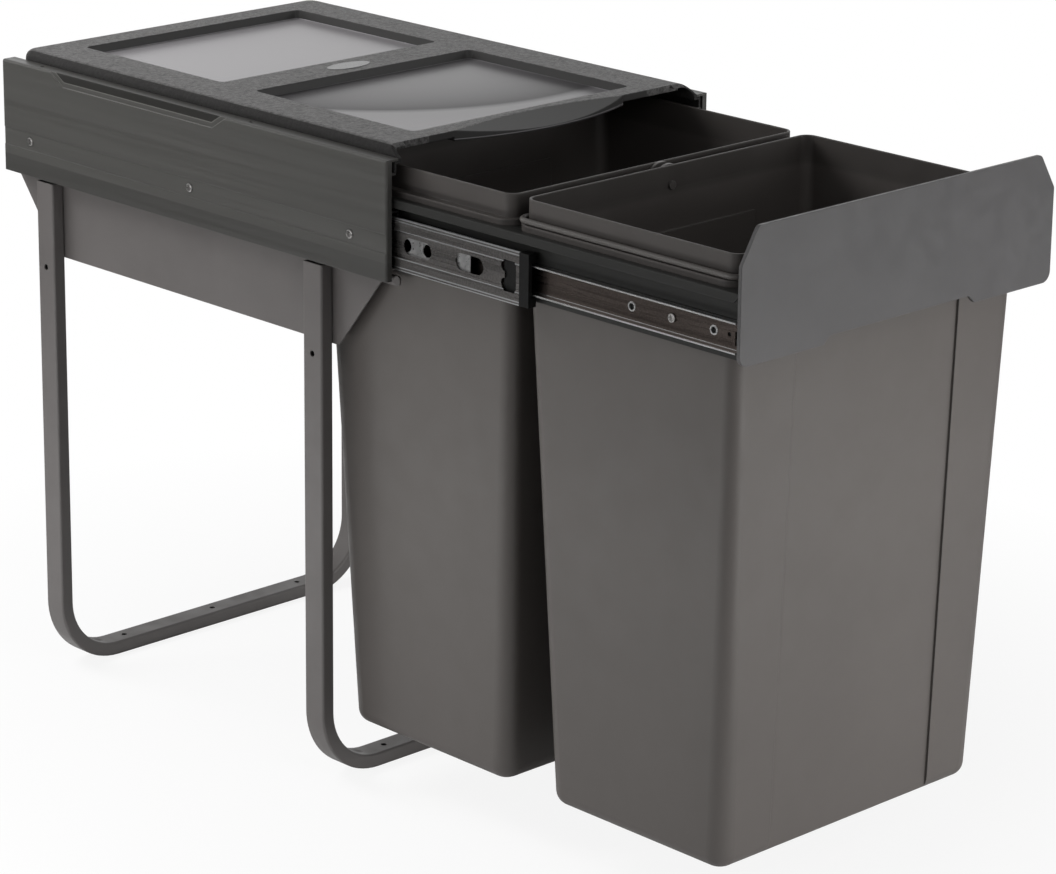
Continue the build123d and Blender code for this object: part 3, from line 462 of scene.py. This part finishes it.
def cover_look():
    """Extruded side cover: painted shade in the pocket at the top, and painted highlight lines
    round it along the bevel.
    """
    look = drawn_plastic("cover_plastic", COVER)
    side, height, depth = look.side(), look.axis("Z"), look.axis("Y")
    rise = look.product(look.math("SUBTRACT", height, POCKET_TOP), POCKET_RISE)
    rear = look.product(look.math("SUBTRACT", POCKET_REAR, depth), POCKET_RUN)
    front = look.product(look.math("SUBTRACT", depth, POCKET_FRONT), POCKET_RUN)
    inside = look.math("MINIMUM", look.math("SUBTRACT", height, POCKET_LOW),
                       look.math("ADD", look.math("MINIMUM", rear, front), rise))
    face = look.above(side, COVER_FACE - FACE_DEPTH)
    # Painted shade: the pocket is coloured darker than the rest of the face
    shaded_pocket = look.product(face, look.above(inside, POCKET_BEVEL))
    shaded = look.blend(look.below(height, COVER_BAND), look.base(), toned(COVER, BAND_TONE))
    shaded = look.blend(shaded_pocket, shaded, toned(COVER, POCKET_SHADE_TONE))
    # Painted highlights: pale lines along the bevel round the pocket
    for start, width in BEVEL_HIGHLIGHT_LINES:
        highlight_line = look.product(face, look.between(inside, start, start + width))
        shaded = look.blend(highlight_line, shaded, toned(COVER, BEVEL_HIGHLIGHT_TONE))
    look.colour(shaded)
    look.specular(look.switch(shaded_pocket, COAT_SPECULAR, POCKET_SPECULAR))
    return look


def lid_look():
    """Leather grained frame, dull skirt and two window floors; painted reflection lightens the
    floors, painted shade darkens the skirt and walls and draws a dish on the flat front floor.
    """
    look = Look("lid_plastic")
    look.soft_edges(LID_EDGE)
    side, depth, height = look.side(), look.axis("Y"), look.axis("Z")
    floor = look.product(look.between(height, FLOOR_LOW, FLOOR_HIGH),
                         look.below(side, WINDOW_HALF))
    walls = look.product(look.below(height, WALL_TOP), look.below(side, WINDOW_HALF))
    skirt = look.above(side, LID_SHOULDER)
    front = look.below(depth, FRONT_WINDOW_Y)
    reach = look.math("DIVIDE", look.distance(look.axis("X"), depth, DISH_CENTRE), DISH_RADIUS)
    outside = look.spread(reach, span=DISH_EDGE)

    # Painted shade: a dish drawn on the flat front floor, darker toward its rim and lighter round
    # it
    dish = look.toning(look.spread(reach, span=DISH_SLOPE), WINDOW_REFLECTION, DISH_SHADE_TONES)
    brim = look.toning(look.spread(reach, span=BRIM_SPAN), WINDOW_REFLECTION, BRIM_SHADE_TONES)
    # Painted reflection: the window floors coloured light
    plates = look.blend(front, WINDOW_REFLECTION, look.blend(outside, dish, brim))
    speckle = look.noise(SPECKLE_SCALE, SPECKLE_DETAIL, SPECKLE_ROUGH)
    leather = look.toning(look.spread(speckle, span=SPECKLE_SPAN), LID, SPECKLE_TONES)
    # Painted shade: the window walls coloured darker than the frame
    leather = look.blend(walls, leather, toned(LID, WALL_SHADE_TONE))
    # Painted shade: the sides of the lid coloured darker than the top
    leather = look.blend(skirt, leather, toned(LID, SKIRT_SHADE_TONE))
    look.colour(look.blend(floor, leather, plates))
    look.rough(look.switch(floor, FRAME_ROUGHNESS, FLOOR_ROUGHNESS))

    dished = look.product(look.spread(reach, *DISH_SPECULARS, DISH_SPECULAR_SPAN),
                          look.inverse(outside))
    dished = look.math("ADD", dished, look.product(outside, BRIM_SPECULAR))
    basin = look.product(floor, front)
    plain = look.product(look.inverse(basin),
                         look.switch(skirt, FRAME_SPECULAR, SKIRT_SPECULAR))
    sheen = look.math("ADD", look.product(basin, dished), plain)
    grained = look.inverse(look.math("MAXIMUM", walls, floor))
    gloss = look.spread(speckle, -SPECKLE_GLOSS, SPECKLE_GLOSS, SPECKLE_SPAN)
    look.specular(look.product(sheen, look.math("ADD", look.product(grained, gloss), 1.0)))

    pebbles = look.product(look.noise(PEBBLE_SCALE, detail=2), PEBBLE_SHARE)
    grain = look.product(look.math("ADD", speckle, pebbles), look.inverse(walls))
    look.bump(grain, GRAIN_HEIGHT)
    return look


LOOKS = {
    "steel": coated("steel_coat", STEEL),
    "panel": coated("panel_coat", PANEL, roughness=0.40),
    "carrier": carrier_look(),
    "cover": cover_look(),
    "bin": bin_look(),
    "handle": moulded("handle_plastic", BAIL, roughness=0.35),
    "zinc middle": rolled_zinc("zinc_middle", MIDDLE_WEB, MIDDLE_HEM_HIGHLIGHT, MIDDLE_HIGHLIGHT_BANDS),
    "zinc inner": inner_member_look(),
    "zinc outer": rolled_zinc("zinc_outer", WEB, HEM_HIGHLIGHT, OUTER_HIGHLIGHT_BANDS),
    "cage": plain_zinc("cage_plate", CAGE, roughness=0.32),
    "screw": plain_zinc("screw_plate", SCREW, roughness=0.3),
    "ball": plain_zinc("ball_steel", BALL, roughness=0.12),
    "black": moulded("black_plastic", BLACK, roughness=0.5, edge=SMALL_EDGE),
    "lid": lid_look(),
    "badge": moulded("badge_plastic", BADGE, roughness=0.2, edge=BADGE_EDGE),
}
socket(LOOKS["black"].shader, "Specular IOR Level", BLACK_SPECULAR)

# The first part of a name that a node's name holds gives its look
USES = (
    ("cover_screws", "screw"), ("slide_screws", "screw"), ("panel_screws", "screw"),
    ("side_cover", "cover"), ("side_plate", "steel"), ("tube_frame", "steel"),
    ("slide_end_cap", "black"), ("balls", "ball"), ("ball_cage", "cage"),
    ("slide_middle", "zinc middle"), ("slide_inner", "zinc inner"),
    ("slide_outer", "zinc outer"), ("carrier", "carrier"),
    ("front_panel", "panel"), ("bin_handle", "handle"), ("handle_pins", "handle"),
    ("bin_", "bin"), ("lid_badge", "badge"), ("lid", "lid"),
)


def dress(node):
    """Gives a CAD node the look that its name calls for."""
    look = next(LOOKS[use] for part, use in USES if part in node.name)
    node.data.materials.clear()
    node.data.materials.append(look.material)


def area_light(name, place, aim, size, watts, mirrored):
    """A soft light that the camera never sees."""
    data = bpy.data.lights.new(name, "AREA")
    data.shape = "RECTANGLE"
    data.size, data.size_y = size
    data.energy = watts
    lamp = bpy.data.objects.new(name, data)
    lamp.location = place
    lamp.rotation_euler = (Vector(aim) - Vector(place)).to_track_quat("-Z", "Y").to_euler()
    lamp.visible_camera = False
    lamp.visible_glossy = mirrored
    scene.collection.objects.link(lamp)


def make_world():
    """White to the camera, white low down and greyer overhead in reflections, else a dim fill."""
    world = bpy.data.worlds.new("studio")
    world.use_nodes = True
    tree = world.node_tree
    back = tree.nodes["Background"]
    path = tree.nodes.new("ShaderNodeLightPath")
    place = tree.nodes.new("ShaderNodeTexCoord")
    parts = tree.nodes.new("ShaderNodeSeparateXYZ")
    tree.links.new(place.outputs["Generated"], parts.inputs[0])
    overhead = ranged(tree, parts.outputs["Z"], OVERHEAD_SPAN, (1.0, OVERHEAD_GREY))
    shine = tree.nodes.new("ShaderNodeMix")
    shine.data_type = "FLOAT"
    shine.inputs[2].default_value = FILL
    tree.links.new(path.outputs["Is Glossy Ray"], shine.inputs[0])
    tree.links.new(overhead, shine.inputs[3])
    pick = tree.nodes.new("ShaderNodeMix")
    pick.data_type = "FLOAT"
    pick.inputs[3].default_value = 1.0
    tree.links.new(path.outputs["Is Camera Ray"], pick.inputs[0])
    tree.links.new(shine.outputs[0], pick.inputs[2])
    tree.links.new(pick.outputs[0], back.inputs["Strength"])
    back.inputs["Color"].default_value = (1, 1, 1, 1)
    scene.world = world


def make_floor():
    """A pale floor that is white to the camera but keeps the shadow near the part."""
    mesh = bpy.data.meshes.new("floor")
    corners = [(across * FLOOR_HALF, along * FLOOR_HALF, 0)
               for across, along in ((-1, -1), (1, -1), (1, 1), (-1, 1))]
    mesh.from_pydata(corners, [], [(0, 1, 2, 3)])
    floor = bpy.data.objects.new("floor", mesh)
    floor.location.z = -FLOOR_DROP
    scene.collection.objects.link(floor)
    material = bpy.data.materials.new("floor")
    material.use_nodes = True
    tree = material.node_tree
    shader = tree.nodes["Principled BSDF"]
    socket(shader, "Roughness", FLOOR_DULL)
    glow = tree.nodes.new("ShaderNodeEmission")
    glow.inputs["Strength"].default_value = 1.0
    path = tree.nodes.new("ShaderNodeLightPath")
    place = tree.nodes.new("ShaderNodeTexCoord")
    reach = tree.nodes.new("ShaderNodeVectorMath")
    reach.operation = "DISTANCE"
    reach.inputs[1].default_value = FLOOR_MIDDLE
    tree.links.new(place.outputs["Object"], reach.inputs[0])
    away = ranged(tree, reach.outputs["Value"], WHITE_SPAN, WHITE_SHARES)
    pale = ranged(tree, reach.outputs["Value"], PALE_SPAN, PALE_TONES)
    tree.links.new(pale, shader.inputs["Base Color"])
    share = tree.nodes.new("ShaderNodeMath")
    share.operation = "MULTIPLY"
    tree.links.new(away, share.inputs[1])
    tree.links.new(path.outputs["Is Camera Ray"], share.inputs[0])
    mix = tree.nodes.new("ShaderNodeMixShader")
    tree.links.new(share.outputs[0], mix.inputs[0])
    tree.links.new(shader.outputs[0], mix.inputs[1])
    tree.links.new(glow.outputs[0], mix.inputs[2])
    tree.links.new(mix.outputs[0], tree.nodes["Material Output"].inputs["Surface"])
    mesh.materials.append(material)


for node in nodes.values():
    dress(node)

make_camera()
make_world()
make_floor()
for light in LIGHTS:
    area_light(*light)

scene.view_settings.view_transform = "Standard"
